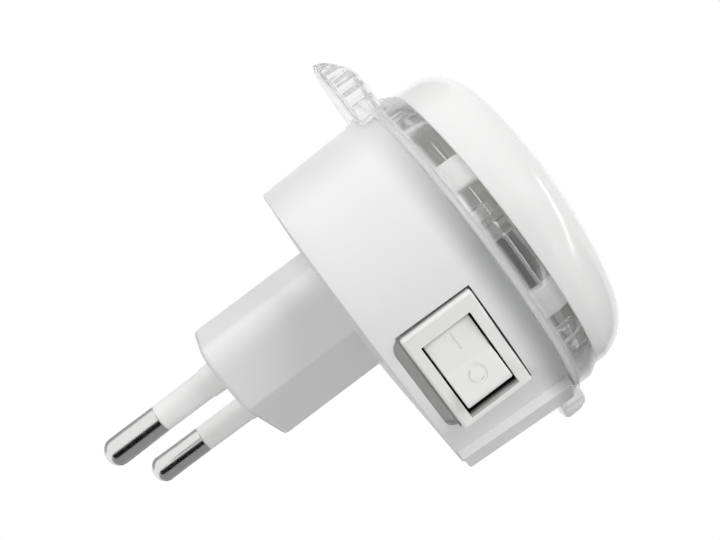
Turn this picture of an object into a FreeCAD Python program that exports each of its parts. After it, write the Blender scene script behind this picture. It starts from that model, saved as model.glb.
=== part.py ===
import FreeCAD, Part
import math
import os
import re
import Sketcher

# A plug-in night light: two round pins, a moulded housing with a rocker switch,
# a clear petal ring and a white dome. Millimetres throughout.
# Working frame: z runs from the pins to the dome, x along the line of pins.
# The object's frame turns that so the dome faces -Y, and the petals and +Z are up.

os.makedirs("parts", exist_ok=True)
V = FreeCAD.Vector
Turn = FreeCAD.Rotation
ALONG = V(1, 0, 0)
ACROSS = V(0, 1, 0)
Z_AXIS = V(0, 0, 1)

doc = FreeCAD.newDocument("NightLight")
dims = doc.addObject("Spreadsheet::Sheet", "dims")

SIZES = [
    # contact pins and sleeves
    ("pin_r", "2"), ("pin_pitch", "18.6"), ("pin_length", "19"), ("pin_bare", "9"), ("pin_lean", "1"),
    ("pin_tip_round", "1.8"), ("shank_r", "1.5"), ("shank_inside", "12"), ("tab_wide", "2.4"),
    ("tab_thick", "0.8"), ("tab_long", "3.5"), ("tab_hole_r", "0.5"), ("sleeve_tip_r", "1.94"),
    ("sleeve_root_r", "2"), ("collar_r", "2.12"), ("collar_root_r", "2.28"), ("collar_long", "2.4"),
    ("collar_seat", "0.3"), ("collar_gap", "0.12"), ("neck_r", "1.7"), ("sleeve_inside", "3"),
    ("sleeve_long", "=pin_length - pin_bare - collar_long"),
    # plug body
    ("wall", "1.8"), ("plug_half_w", "17.3"), ("plug_half_h", "6.85"), ("plug_flat", "9.9"),
    ("plug_end_wall", "2.5"), ("plug_side_round", "3.5"), ("plug_long_round", "1"),
    ("plug_end_round", "0.8"), ("plug_slant", "=sqrt(plug_half_h ^ 2 + (plug_half_w - plug_flat) ^ 2)"),
    ("plug_in_h", "=plug_half_h - wall"), ("plug_in_w", "=plug_half_w - wall * plug_slant / plug_half_h"),
    ("plug_in_flat", "=plug_in_w - plug_in_h * (plug_half_w - plug_flat) / plug_half_h"),
    ("pin_boss_r", "3.6"), ("pin_boss_long", "6.5"), ("pin_boss_end", "=plug_end_wall + pin_boss_long"),
    # drum
    ("drum_offset", "4"), ("back_z", "18.8"), ("drum_long", "18.15"), ("rim_z", "=back_z + drum_long"),
    ("rim_r", "23.85"), ("draft_in", "0.6"), ("back_r", "=rim_r - draft_in"), ("crown_high", "0.95"),
    ("crown_z", "=back_z - crown_high"), ("crown_r", "9"), ("back_round", "0.25"), ("rim_round", "0.3"),
    ("back_wall", "1.9"), ("floor_z", "=back_z + back_wall"), ("hollow_long", "=rim_z - floor_z"),
    ("back_in_r", "=back_r - wall + 0.05"), ("rim_in_r", "=rim_r - wall"), ("foot_half_w", "4.1"),
    ("foot_out", "0.8"), ("foot_top", "=back_r + foot_out"), ("foot_slope", "2.6"),
    ("foot_long", "=drum_long - 0.7"), ("facet_w", "8"), ("facet_at", "75"), ("facet_in", "0.06"),
    ("facet_top", "=back_r - facet_in"), ("facet_slope", "1.9"),
    # switch
    ("face_at", "23.55"), ("switch_up", "8.2"), ("switch_z", "=back_z + switch_up"),
    ("switch_turn", "45"), ("switch_shift", "0.45"), ("frame_l", "15.6"), ("frame_w", "10.6"),
    ("frame_t", "1.4"), ("frame_round", "0.35"), ("frame_gap", "0.25"), ("moat_wide", "0.75"),
    ("moat_deep", "1.3"), ("body_l", "14.1"), ("body_w", "8.6"), ("body_deep", "10.8"),
    ("body_shift", "0.5"), ("cut_gap", "0.1"), ("cut_l", "=body_l + cut_gap * 2"),
    ("cut_w", "=body_w + cut_gap * 2"), ("pad_deep", "3.3"), ("pad_l", "17.4"), ("pad_w", "14.4"),
    ("opening_l", "12.4"), ("opening_w", "7.45"), ("opening_shift", "0.65"), ("cavity_deep", "9.7"),
    ("latch_out", "0.55"), ("latch_in", "0.3"), ("latch_long", "2.2"), ("latch_w", "4"),
    ("scoop_l", "15.3"), ("scoop_shift", "-0.25"), ("scoop_out", "1.5"), ("scoop_deep", "2.4"),
    ("scoop_round", "1.8"), ("pivot_deep", "3.3"), ("pivot_r", "0.8"), ("pivot_fit", "0.04"),
    ("pivot_out", "0.5"), ("rocker_half", "5.2"), ("rocker_w", "=opening_w - 0.6"), ("rocker_mid", "3.1"),
    ("rocker_end", "3.785"), ("rocker_skirt", "0.9"), ("rocker_skirt_half", "5"), ("rocker_foot", "1.4"),
    ("rocker_low", "1.6"), ("rocker_end_round", "0.8"), ("rocker_round", "0.22"), ("tilt", "13.5"),
    ("vee", "7.5"), ("mark_deep", "0.16"), ("bar_l", "2.65"), ("bar_w", "0.75"), ("bar_at", "3.1"),
    ("ring_at", "2"), ("ring_r", "1.35"), ("ring_in_r", "0.98"), ("bore_r", "0.9"), ("bore_top", "1.4"),
    ("plunger_r", "0.84"), ("plunger_low", "4.2"), ("plunger_high", "2.2"), ("spring_r", "0.8"),
    ("spring_in_r", "0.45"), ("blade_half", "5.2"), ("blade_w", "3"), ("blade_t", "0.4"),
    ("blade_deep", "4.75"), ("blade_tilt", "6"), ("blade_gap", "0.05"), ("contact_r", "0.8"),
    ("contact_t", "0.35"), ("post_w", "3.2"), ("post_t", "0.8"), ("post_end_deep", "14.5"),
    ("post_at", "4.4"), ("button_t", "0.35"),
    ("blade_drop", "=(post_at + 0.3) * tan(blade_tilt) + contact_t + 0.12"),
    ("post_edge_r", "0.3"),
    ("post_long", "=post_end_deep - pivot_deep - blade_deep - blade_drop - button_t"),
    ("common_long", "=post_end_deep - pivot_deep - blade_deep - blade_gap - post_edge_r"),
    # white dome and its legs
    ("dome_step", "0.55"), ("dome_r", "=rim_r - dome_step"), ("dome_t", "1.2"), ("dome_high", "10.25"),
    ("crown_ball", "75"), ("crown_lean", "2.6"), ("crown_off", "=crown_ball * sin(crown_lean)"),
    ("crown_mid", "=dome_top - crown_ball * cos(crown_lean)"), ("dome_round", "6.5"), ("leg_w", "4.4"),
    ("leg_t", "1.35"), ("leg_first", "-4.2"), ("dome_in_r", "=dome_r - dome_t"),
    ("ball_in", "=crown_ball - dome_t"), ("dome_in_round", "=dome_round - dome_t"),
    ("leg_out_r", "=dome_in_r + 0.15"), ("leg_in_r", "=leg_out_r - leg_t"),
    # clear ring
    ("flange_out", "0.75"), ("flange_r", "=rim_r + flange_out"), ("flange_in_r", "=leg_in_r - 0.1"),
    ("flange_t", "0.8"), ("band_out", "0.4"), ("band_r", "=rim_r + band_out"),
    ("band_in_r", "=leg_out_r + 0.25"), ("band_long", "3.65"), ("flange_z", "=rim_z + flange_t"),
    ("seat_z", "=flange_z + band_long"), ("band_draw", "1.6"), ("band_bend_z", "=seat_z - band_draw"),
    ("spigot_deep", "1.4"), ("spigot_r", "=rim_in_r - 0.1"), ("spigot_z", "=rim_z - spigot_deep"),
    ("rib_top", "=seat_z - 0.4"), ("rib_w", "2.2"), ("rib_depth", "1.5"),
    ("rib_at", "=band_in_r - rib_depth / 2 + 0.1"), ("peg_r", "0.9"), ("peg_long", "2.6"),
    ("peg_at", "=flange_in_r + peg_r"), ("petal_r", "9"), ("petal_at", "=band_r + 0.05"),
    ("petal_in_r", "=band_r - 0.1"), ("petal_behind", "2.15"), ("petal_back", "=rim_z - petal_behind"),
    ("wave", "0.28"), ("petal_first", "-65"), ("petal_step", "51.43"),
    ("petal_edge_z", "=petal_back + 1.15"), ("petal_near_r", "=petal_r - 0.55"),
    ("petal_near_z", "=petal_back + 2.25"), ("petal_mid_r", "=petal_r - 1.6"),
    ("petal_mid_z", "=petal_back + 3.2"), ("petal_high_r", "=petal_r - 3.2"),
    ("petal_high_z", "=petal_back + 3.95"), ("petal_top_z", "=petal_back + 4.05"),
    ("leg_top", "=seat_z + 2.4"), ("dome_top", "=seat_z + dome_high"),
    # board and what sits on it
    ("board_r", "=flange_in_r - 0.4"), ("board_deep", "1"), ("board_z", "=rim_z - board_deep"),
    ("board_t", "1.2"), ("board_front", "=board_z + board_t"), ("boss_r", "2.6"),
    ("boss_at", "=board_r - 3.4"), ("screw_r", "0.9"), ("screw_deep", "7"), ("screw_head_r", "1.8"),
    ("screw_head_t", "1.1"), ("screw_long", "6"), ("lamp_w", "3.5"), ("lamp_l", "3.5"), ("lamp_t", "1.1"),
    ("lamp_at", "10"), ("lens_r", "1.4"), ("film_l", "12.5"), ("film_w", "5.2"), ("film_h", "10"),
    ("film_round", "0.5"), ("film_foot", "=board_z - film_h"), ("can_r", "3.15"), ("can_h", "11"),
    ("can_round", "0.5"), ("can_foot", "=board_z - can_h"), ("bridge_l", "7.6"), ("bridge_w", "6"),
    ("bridge_h", "2.6"), ("bridge_at", "=board_r - 3.8"), ("bridge_round", "0.3"), ("res_r", "1.15"),
    ("res_l", "6"), ("res_at", "=board_r - 2.2"), ("res_leg_r", "0.3"), ("wire_r", "0.6"),
    ("bend_r", "2.2"), ("lead_level", "=floor_z + 1.3"), ("lead_turn", "4.6"), ("lead_run_in", "3.4"),
]
for row, (name, text) in enumerate(SIZES, start=1):
    dims.set("A%d" % row, name)
    dims.set("B%d" % row, text)
    dims.setAlias("B%d" % row, name)
doc.recompute()

WORD = re.compile(r"[a-z][a-z_]*")


def s(name):
    """The number behind a name in the sheet; a leading minus turns it round."""
    if isinstance(name, (int, float)):
        return float(name)
    return -s(name[1:]) if name[0] == "-" else float(getattr(dims, name))


def ex(text):
    """Sheet names written in plain words become an expression."""
    return WORD.sub(lambda found: "dims." + found.group(0), str(text))


def spot(x=0.0, y=0.0, z=0.0, turn=None):
    return FreeCAD.Placement(V(x, y, z), turn or Turn())


def up(height):
    return spot(0, 0, s(height))


def around(angle, inner=None):
    return spot(turn=Turn(Z_AXIS, angle)).multiply(inner or spot())


def solid(kind, name, place=None, **sizes):
    thing = doc.addObject("Part::" + kind, name)
    for key, text in sizes.items():
        thing.setExpression(key, ex(text))
    thing.Placement = place or spot()
    return thing


def rod(name, radius, height, place=None):
    return solid("Cylinder", name, place, Radius=radius, Height=height)


def block(name, lx, ly, lz, place=None, middle=(0.0, 0.0, 0.0)):
    """A box whose foot is centred on the given point."""
    thing = solid("Box", name, None, Length=lx, Width=ly, Height=lz)
    doc.recompute()
    corner = V(-thing.Length.Value / 2, -thing.Width.Value / 2, 0) + V(*middle)
    thing.Placement = (place or spot()).multiply(spot(corner.x, corner.y, corner.z))
    return thing


def join(name, *things):
    thing = doc.addObject("Part::MultiFuse", name)
    thing.Shapes = list(things)
    return thing


def take(name, base, *tools):
    thing = doc.addObject("Part::Cut", name)
    thing.Base = base
    thing.Tool = tools[0] if len(tools) == 1 else join(name + "_tools", *tools)
    return thing


def shared(name, *things):
    thing = doc.addObject("Part::MultiCommon", name)
    thing.Shapes = list(things)
    return thing


def outline(name, points, upright=False):
    """A closed sketch through points given by sheet names; upright puts it in the x-z plane."""
    sketch = doc.addObject("Sketcher::SketchObject", name)
    spots = [V(s(x), s(y), 0) for x, y in points]
    for i, start in enumerate(spots):
        sketch.addGeometry(Part.LineSegment(start, spots[(i + 1) % len(spots)]), False)
    for i in range(len(spots)):
        sketch.addConstraint(Sketcher.Constraint("Coincident", i, 2, (i + 1) % len(spots), 1))
    for i, names in enumerate(points):
        for kind, text in zip(("DistanceX", "DistanceY"), names):
            index = sketch.addConstraint(Sketcher.Constraint(kind, -1, 1, i, 1, s(text)))
            if isinstance(text, str):
                sketch.setExpression("Constraints[%d]" % index, ex(text))
    if upright:
        sketch.Placement = spot(turn=Turn(ALONG, 90))
    return sketch


def pushed(name, sketch, length, place=None):
    thing = doc.addObject("Part::Extrusion", name)
    thing.Base = sketch
    thing.DirMode = "Normal"
    thing.setExpression("LengthFwd", ex(length))
    thing.Solid = True
    thing.Placement = place or spot()
    return thing


def spun(name, points):
    """A ring or disc turned about z from a half outline of (radius, height) names."""
    thing = doc.addObject("Part::Revolution", name)
    thing.Source = outline(name + "_outline", points, upright=True)
    thing.Axis = Z_AXIS
    thing.Angle = 360
    thing.Solid = True
    return thing


def rounded(name, base, radius, wanted):
    doc.recompute()
    picks = [(i + 1, s(radius), s(radius)) for i, edge in enumerate(base.Shape.Edges) if wanted(edge)]
    thing = doc.addObject("Part::Fillet", name)
    thing.Base = base
    thing.Edges = picks
    doc.recompute()
    return thing


def is_round(edge):
    return not edge.Degenerated and isinstance(edge.Curve, Part.Circle)


def is_circle(edge, radius, height):
    if not is_round(edge):
        return False
    return abs(edge.Curve.Radius - s(radius)) < 0.02 and abs(edge.Curve.Center.z - s(height)) < 0.02


def runs_along(edge, axis):
    if edge.Degenerated or not isinstance(edge.Curve, Part.Line):
        return False
    return edge.tangentAt(edge.FirstParameter).cross(axis).Length < 1e-6


def all_at_z(edge, height):
    heights = [v.Z for v in edge.Vertexes] + [edge.CenterOfMass.z]
    return all(abs(z - s(height)) < 1e-4 for z in heights)


NODES = []


def node(label, thing, frame):
    """Give a finished solid its node name and stand it in the object's frame."""
    doc.recompute()
    thing.Label = label
    thing.Placement = frame.multiply(thing.Placement)
    NODES.append(thing)
    return thing


# frames
UPRIGHT = Turn(V(-1, 0, 0), V(0, 0, -1), V(0, -1, 0), "XYZ")
PLUG = spot(turn=UPRIGHT)
DRUM = PLUG.multiply(spot(0, s("drum_offset"), 0))
TURN = math.radians(s("switch_turn"))
OUT = V(math.cos(TURN), math.sin(TURN), 0)
SIDE = V(-math.sin(TURN), math.cos(TURN), 0)
SEAT = OUT * s("face_at") + SIDE * s("switch_shift") + Z_AXIS * s("switch_z")
IN_DRUM = FreeCAD.Placement(SEAT, Turn(SIDE, Z_AXIS, OUT, "XYZ"))
SWITCH = DRUM.multiply(IN_DRUM)
TO_PLUG = spot(0, s("drum_offset"), 0)
IN_PLUG = TO_PLUG.multiply(IN_DRUM)


def pin_frame(side):
    return spot(side * s("pin_pitch") / 2, 0, 0, Turn(ACROSS, side * s("pin_lean")))


# contact pins and their sleeves
for label, side in (("left", -1), ("right", 1)):
    place = PLUG.multiply(pin_frame(side))
    bare_from = s("pin_bare") - s("pin_length")
    tip = rod("bare_" + label, "pin_r", "pin_bare", up("-pin_length"))
    tip = rounded("tip_" + label, tip, "pin_tip_round", lambda e: is_circle(e, "pin_r", "-pin_length"))
    shank = rod("shank_" + label, "shank_r", "pin_length - pin_bare + shank_inside", up(bare_from))
    tab = block("tab_" + label, "tab_wide", "tab_thick", "tab_long + 1", None, (0, 0, s("shank_inside") - 1))
    hole_z = s("shank_inside") + s("tab_long") * 0.5
    hole = rod("tab_hole_" + label, "tab_hole_r", "4", spot(0, 2, hole_z, Turn(ALONG, 90)))
    metal = join("pin_all_" + label, tip, shank, tab)
    node("pin_" + label, take("pin_solid_" + label, metal, hole), place)
    cone = solid("Cone", "sleeve_cone_" + label, up(bare_from), Radius1="sleeve_tip_r",
                 Radius2="sleeve_root_r", Height="sleeve_long")
    collar = solid("Cone", "sleeve_collar_" + label, up("-collar_long"), Radius1="collar_r",
                   Radius2="collar_root_r", Height="collar_long + collar_seat")
    neck = rod("neck_" + label, "neck_r", "sleeve_inside")
    bore = rod("sleeve_bore_" + label, "shank_r", "pin_length * 2", up("-pin_length"))
    cover = join("sleeve_all_" + label, cone, collar, neck)
    node("sleeve_" + label, take("sleeve_solid_" + label, cover, bore), place)

# rear housing: drum, plug body, foot flat, bosses, switch seat
drum = solid("Cone", "drum_outer", TO_PLUG.multiply(up("back_z")), Radius1="back_r", Radius2="rim_r",
             Height="drum_long")
crown = solid("Cone", "drum_crown", TO_PLUG.multiply(up("crown_z")), Radius1="crown_r", Radius2="back_r",
              Height="back_z - crown_z")
drum = join("drum_blank", drum, crown)
drum = rounded("drum_back_round", drum, "back_round", lambda e: is_circle(e, "back_r", "back_z"))
drum = rounded("drum_rim_round", drum, "rim_round", lambda e: is_circle(e, "rim_r", "rim_z"))
foot_frame = TO_PLUG.multiply(spot(0, s("foot_top"), s("back_z") + 0.3, Turn(ALONG, -s("foot_slope"))))
foot = block("foot_flat", "foot_half_w * 2", "3", "foot_long", foot_frame, (0, -1.5, 0))
foot = rounded("foot_round", foot, "frame_round", lambda e: runs_along(e, Z_AXIS) or runs_along(e, ALONG))
HEX = [("plug_half_w", 0), ("plug_flat", "plug_half_h"), ("-plug_flat", "plug_half_h"), ("-plug_half_w", 0),
       ("-plug_flat", "-plug_half_h"), ("plug_flat", "-plug_half_h")]
HEX_IN = [("plug_in_w", 0), ("plug_in_flat", "plug_in_h"), ("-plug_in_flat", "plug_in_h"), ("-plug_in_w", 0),
          ("-plug_in_flat", "-plug_in_h"), ("plug_in_flat", "-plug_in_h")]


def hex_edge(edge, height):
    """A long edge of the plug body at the given height above or below its middle."""
    return runs_along(edge, Z_AXIS) and abs(abs(edge.CenterOfMass.y) - height) < 0.1


plug = pushed("plug_blank", outline("plug_outline", HEX), "back_z + 0.5")
plug = rounded("plug_sides", plug, "plug_side_round", lambda e: hex_edge(e, 0))
plug = rounded("plug_edges", plug, "plug_long_round", lambda e: hex_edge(e, s("plug_half_h")))
plug = rounded("plug_end", plug, "plug_end_round", lambda e: all_at_z(e, 0))
facet_place = spot(s("facet_top"), 0, s("back_z"), Turn(ACROSS, s("facet_slope")))
facet_frame = TO_PLUG.multiply(around(s("facet_at"), facet_place))
facet = block("facet_cut", "2", "facet_w", "drum_long + 2", facet_frame, (1, 0, -1))
outer = join("housing_outer", take("drum_facet", drum, facet), foot, plug)
hollow = solid("Cone", "drum_hollow", TO_PLUG.multiply(up("floor_z")), Radius1="back_in_r",
               Radius2="rim_in_r", Height="hollow_long")
plug_hollow = pushed("plug_hollow", outline("plug_in_outline", HEX_IN), "floor_z - plug_end_wall + 0.5",
                     up("plug_end_wall"))
shell = take("housing_shell", outer, hollow, plug_hollow)
pad = block("seat_pad", "pad_l", "pad_w", "pad_deep - 0.2", IN_PLUG, (0, 0.1, -s("pad_deep")))
pad = shared("seat_pad_trim", pad, drum)
bosses = [rod("pin_boss_%d" % (side + 2), "pin_boss_r", "pin_boss_long + 1",
              pin_frame(side).multiply(up(s("plug_end_wall") - 1))) for side in (-1, 1)]
BOSS_ANGLES = (125.0, 222.0, 315.0)
for angle in BOSS_ANGLES:
    at = TO_PLUG.multiply(around(angle, spot(s("boss_at"), 0, s("floor_z") - 0.8)))
    bosses.append(rod("board_boss_%d" % angle, "boss_r", "board_z - floor_z + 0.8", at))
filled = join("housing_filled", shell, pad, *bosses)
cuts = []
for side in (-1, 1):
    tag = "_%d" % (side + 2)
    cuts.append(rod("neck_hole" + tag, "neck_r", "sleeve_inside + 3", pin_frame(side).multiply(up(-3))))
    seat = pin_frame(side).multiply(up(s("collar_seat") - 2))
    cuts.append(rod("collar_hole" + tag, "collar_root_r + collar_gap", "2", seat))
    cuts.append(rod("shank_hole" + tag, "shank_r", "pin_boss_end + 1", pin_frame(side)))
for angle in BOSS_ANGLES:
    at = TO_PLUG.multiply(around(angle, spot(s("boss_at"), 0, s("board_z") - s("screw_deep"))))
    cuts.append(rod("screw_hole_%d" % angle, "screw_r", "screw_deep + 1", at))
RECESS = ("frame_l + frame_gap * 2", "frame_w + frame_gap * 2")
cuts.append(block("flat_cut", RECESS[0], RECESS[1], "5", IN_PLUG, (0, 0, -s("frame_t"))))
cuts.append(block("switch_cut", "cut_l", "cut_w", "8", IN_PLUG, (s("body_shift"), 0, -6)))
moat_foot = (0, 0, -s("frame_t") - s("moat_deep"))
moat = [block("moat_" + name, RECESS[0] + less, RECESS[1] + less, "moat_deep + 0.2", IN_PLUG, moat_foot)
        for name, less in (("outer", ""), ("inner", " - moat_wide * 2"))]
cuts.append(take("moat", *moat))
scoop_at = (s("scoop_shift"), -(s("frame_w") + s("scoop_out") - 0.5) / 2, -s("scoop_deep"))
scoop = block("scoop_box", "scoop_l", "scoop_out + 0.5", "5", IN_PLUG, scoop_at)
scoop_edge = s("switch_z") - s("frame_w") / 2 - 1
cuts.append(rounded("scoop", scoop, "scoop_round",
                    lambda e: runs_along(e, OUT) and e.CenterOfMass.z < scoop_edge))
node("rear_housing", take("housing_solid", filled, *cuts), PLUG)

# clear ring with petals
RING = [("flange_in_r", "rim_z"), ("flange_in_r", "flange_z"), ("band_in_r", "flange_z"),
        ("band_in_r", "seat_z"), ("dome_r", "seat_z"), ("band_r", "band_bend_z"), ("band_r", "flange_z"),
        ("flange_r", "flange_z"), ("flange_r", "rim_z"), ("spigot_r", "rim_z"), ("spigot_r", "spigot_z"),
        ("flange_in_r", "spigot_z")]
ring = spun("ring_blank", RING)
LOBE = [(0, "petal_back"), ("petal_r", "petal_back"), ("petal_r", "petal_edge_z"),
        ("petal_near_r", "petal_near_z"), ("petal_mid_r", "petal_mid_z"), ("petal_high_r", "petal_high_z"),
        (0, "petal_top_z")]


def petal_outline(name, angle):
    """A round petal with a shallow wave round its edge, two dozen ripples to the full turn."""
    count = 24
    centre = Turn(Z_AXIS, angle).multVec(V(s("petal_at"), 0, 0))

    def at(step, radius):
        return centre + Turn(Z_AXIS, angle + 360.0 * step / count).multVec(V(radius, 0, 0))

    sketch = doc.addObject("Sketcher::SketchObject", name)
    for i in range(count):
        low = s("petal_r") - s("wave")
        sketch.addGeometry(Part.Arc(at(i - 0.5, low), at(i, s("petal_r")), at(i + 0.5, low)), False)
    for i in range(count):
        sketch.addConstraint(Sketcher.Constraint("Coincident", i, 2, (i + 1) % count, 1))
    return sketch


petals = []
for i in range(4):
    angle = s("petal_first") - i * s("petal_step")
    edge = petal_outline("petal_outline_%d" % i, angle)
    prism = pushed("petal_prism_%d" % i, edge, "petal_top_z - petal_back + 1", up(s("petal_back") - 0.5))
    lobe = spun("petal_lobe_%d" % i, LOBE)
    lobe.Placement = around(angle, spot(s("petal_at"), 0, 0))
    petals.append(shared("petal_%d" % i, prism, lobe))
inside = rod("petal_inner", "petal_in_r", "20", up(s("petal_back") - 5))
petals = take("petals", join("petal_all", *petals), inside)
posts = []
for i in range(7):
    angle = s("leg_first") + 360.0 / 7 * (i + 0.44)
    rib_foot = (s("rib_at"), 0, s("rim_z") + 0.2)
    posts.append(block("rib_%d" % i, "rib_depth + 0.2", "rib_w", "rib_top - rim_z - 0.2",
                       around(angle), rib_foot))
    peg_place = around(angle - 7.5, spot(s("peg_at"), 0, s("flange_z") - 0.5))
    posts.append(rod("peg_%d" % i, "peg_r", "peg_long + 0.5", peg_place))
node("clear_petal_ring", join("ring_solid", ring, petals, *posts), DRUM)

# white dome with its legs
def cap(name, radius, ball, edge, foot_z):
    """A short drum under a large ball whose centre sits a little toward the top; the shoulder is rounded."""
    side = rod(name + "_side", radius, "dome_high + 2", spot(0, 0, foot_z))
    crown_part = solid("Sphere", name + "_ball", spot(0, -s("crown_off"), s("crown_mid")), Radius=ball)
    body = shared(name + "_body", side, crown_part)
    return rounded(name + "_round", body, edge, lambda e: crown_edge(e, radius))


def crown_edge(edge, radius):
    """The edge between a cap's side and its crown: a whole turn, high up."""
    if edge.Degenerated:
        return False
    return edge.BoundBox.ZMin > s("seat_z") + 1 and edge.BoundBox.XLength > s(radius)


dome_out = cap("dome_out", "dome_r", "crown_ball", "dome_round", s("seat_z"))
dome_in = cap("dome_in", "dome_in_r", "ball_in", "dome_in_round", s("seat_z") - 1)
dome_shell = take("dome_shell", dome_out, dome_in)
legs = []
for i in range(7):
    foot_at = ((s("leg_out_r") + s("leg_in_r")) / 2, 0, s("flange_z"))
    turn = around(s("leg_first") + i * 360.0 / 7)
    legs.append(block("leg_%d" % i, "leg_out_r - leg_in_r", "leg_w", "leg_top - flange_z", turn, foot_at))
node("opal_dome", join("dome_solid", dome_shell, *legs), DRUM)

# board, lamps, screws and components
board = rod("board_disc", "board_r", "board_t", up("board_z"))


def at_boss(angle, height):
    return around(angle, spot(s("boss_at"), 0, s(height)))


holes = [rod("board_hole_%d" % a, "screw_r + 0.15", "4", at_boss(a, s("board_z") - 1)) for a in BOSS_ANGLES]
node("led_board", take("board_solid", board, *holes), DRUM)
lamps = []
for i in range(5):
    at = around(72.0 * i + 9, spot(s("lamp_at"), 0, s("board_front")))
    base = block("lamp_base_%d" % i, "lamp_l", "lamp_w", "lamp_t", at)
    lamps.append(join("lamp_%d" % i, base, rod("lens_%d" % i, "lens_r", "lamp_t + 0.2", at)))
node("leds", join("lamp_group", *lamps), DRUM)
screws = []
for a in BOSS_ANGLES:
    head = rod("screw_head_%d" % a, "screw_head_r", "screw_head_t", at_boss(a, "board_front"))
    core_at = at_boss(a, s("board_front") - s("screw_long"))
    core = rod("screw_core_%d" % a, "screw_r", "screw_long + 0.3", core_at)
    slot_place = at_boss(a, s("board_front") + 0.6)
    cross = [block("screw_slot_%d_%d" % (a, k), "2.2", "0.4", "1",
                   slot_place.multiply(spot(turn=Turn(Z_AXIS, 90 * k)))) for k in (0, 1)]
    screws.append(take("screw_%d" % a, join("screw_all_%d" % a, head, core), *cross))
node("board_screws", join("screw_group", *screws), DRUM)
film = block("film_box", "film_l", "film_w", "film_h", spot(-0.6, -9.6, s("board_z") - s("film_h")))
node("film_capacitor", rounded("film_solid", film, "film_round", lambda e: not all_at_z(e, "board_z")), DRUM)
can = rod("can_body", "can_r", "can_h", spot(-13.4, -0.5, s("board_z") - s("can_h")))
can = rounded("can_solid", can, "can_round", lambda e: is_round(e) and all_at_z(e, "can_foot"))
node("electrolytic_capacitor", can, DRUM)
bridge_place = around(34.0, spot(s("bridge_at"), 0, s("board_front")))
bridge = block("bridge_box", "bridge_w", "bridge_l", "bridge_h", bridge_place)
bridge = rounded("bridge_solid", bridge, "bridge_round", lambda e: not all_at_z(e, "board_front"))
node("bridge_rectifier", bridge, DRUM)
parts = []
for i, a in enumerate((-21.0, 66.0)):
    def lying(reach):
        """A place on the board's rim from which a rod lies along the edge, starting at the given reach."""
        return around(a, spot(s("res_at"), reach, s("board_front") + s("res_r"), Turn(ALONG, 90)))

    body = rod("res_body_%d" % i, "res_r", "res_l", lying(s("res_l") / 2))
    wire = rod("res_wire_%d" % i, "res_leg_r", "res_l + 1.1", lying(s("res_l") / 2 + 0.55))
    ends = [rod("res_leg_%d_%d" % (i, k), "res_leg_r", "res_r",
                around(a, spot(s("res_at"), k * (s("res_l") / 2 + 0.25), s("board_front")))) for k in (-1, 1)]
    parts.append(join("res_%d" % i, body, wire, *ends))
node("resistors", join("res_group", *parts), DRUM)

# switch: frame and body in one moulding
frame = block("frame_plate", "frame_l", "frame_w", "frame_t", None, (0, 0, -s("frame_t")))
frame = rounded("frame_soft", frame, "frame_round", lambda e: not all_at_z(e, "-frame_t"))
body = block("switch_block", "body_l", "body_w", "body_deep - 1", None, (s("body_shift"), 0, -s("body_deep")))
LATCH = [(0, 0), ("latch_out", 0), ("-latch_in", "-latch_long"), ("-latch_in", 0)]
latches = []
for side in (-1, 1):
    at = spot(s("body_shift") - side * s("latch_w") / 2, side * s("body_w") / 2, -s("pad_deep") - 0.06,
              Turn(Z_AXIS, side * 90))
    name = "latch_%s" % ("back" if side < 0 else "front")
    latches.append(pushed(name, outline(name + "_outline", LATCH, upright=True), "latch_w", at))
MID = s("opening_shift")
cavity = block("switch_cavity", "opening_l", "opening_w", "12", None, (MID, 0, -s("cavity_deep")))
pivot_at = spot(MID, s("body_w") / 2, -s("pivot_deep"), Turn(ALONG, 90))
pivot = rod("pivot_hole", "pivot_r + pivot_fit", "body_w", pivot_at)
slots = [block("post_slot_%d" % i, "post_t", "post_w", "4", None, (x, 0, -s("body_deep") - 1))
         for i, x in enumerate((MID, MID + s("post_at")))]
shell = take("switch_shell", join("switch_all", frame, body, *latches), cavity, pivot, *slots)
node("switch_housing", shell, SWITCH)

# rocker with the marks I and O
HINGE = SWITCH.multiply(spot(MID, 0, -s("pivot_deep")))
ROCK = HINGE.multiply(spot(turn=Turn(ACROSS, -s("tilt"))))
PROFILE = [("-rocker_half", "rocker_end"), ("-rocker_skirt_half", "rocker_skirt"),
           ("-rocker_foot", "-rocker_low"), ("rocker_foot", "-rocker_low"),
           ("rocker_skirt_half", "rocker_skirt"), ("rocker_half", "rocker_end"), (0, "rocker_mid")]
HALF = s("rocker_w") / 2


def end_edge(edge):
    return runs_along(edge, ACROSS) and edge.CenterOfMass.z > s("rocker_end") - 0.01


def side_edge(edge):
    middle = edge.CenterOfMass
    return middle.z > s("rocker_skirt") + 0.5 and abs(abs(middle.y) - HALF) < 0.01


blank = pushed("rocker_blank", outline("rocker_outline", PROFILE, upright=True), "rocker_w", spot(0, HALF, 0))
blank = rounded("rocker_ends", blank, "rocker_end_round", end_edge)
blank = rounded("rocker_soft", blank, "rocker_round", side_edge)
arms_at = spot(0, HALF + s("pivot_out"), 0, Turn(ALONG, 90))
arms = rod("rocker_arms", "pivot_r", "rocker_w + pivot_out * 2", arms_at)


def on_face(x):
    """A spot on the sloped top of the rocker, z along that face's normal."""
    side = 1 if x > 0 else -1
    rise = math.tan(math.radians(s("vee"))) * abs(x)
    return spot(x, 0, s("rocker_mid") + rise, Turn(ACROSS, -side * s("vee")))


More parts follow.
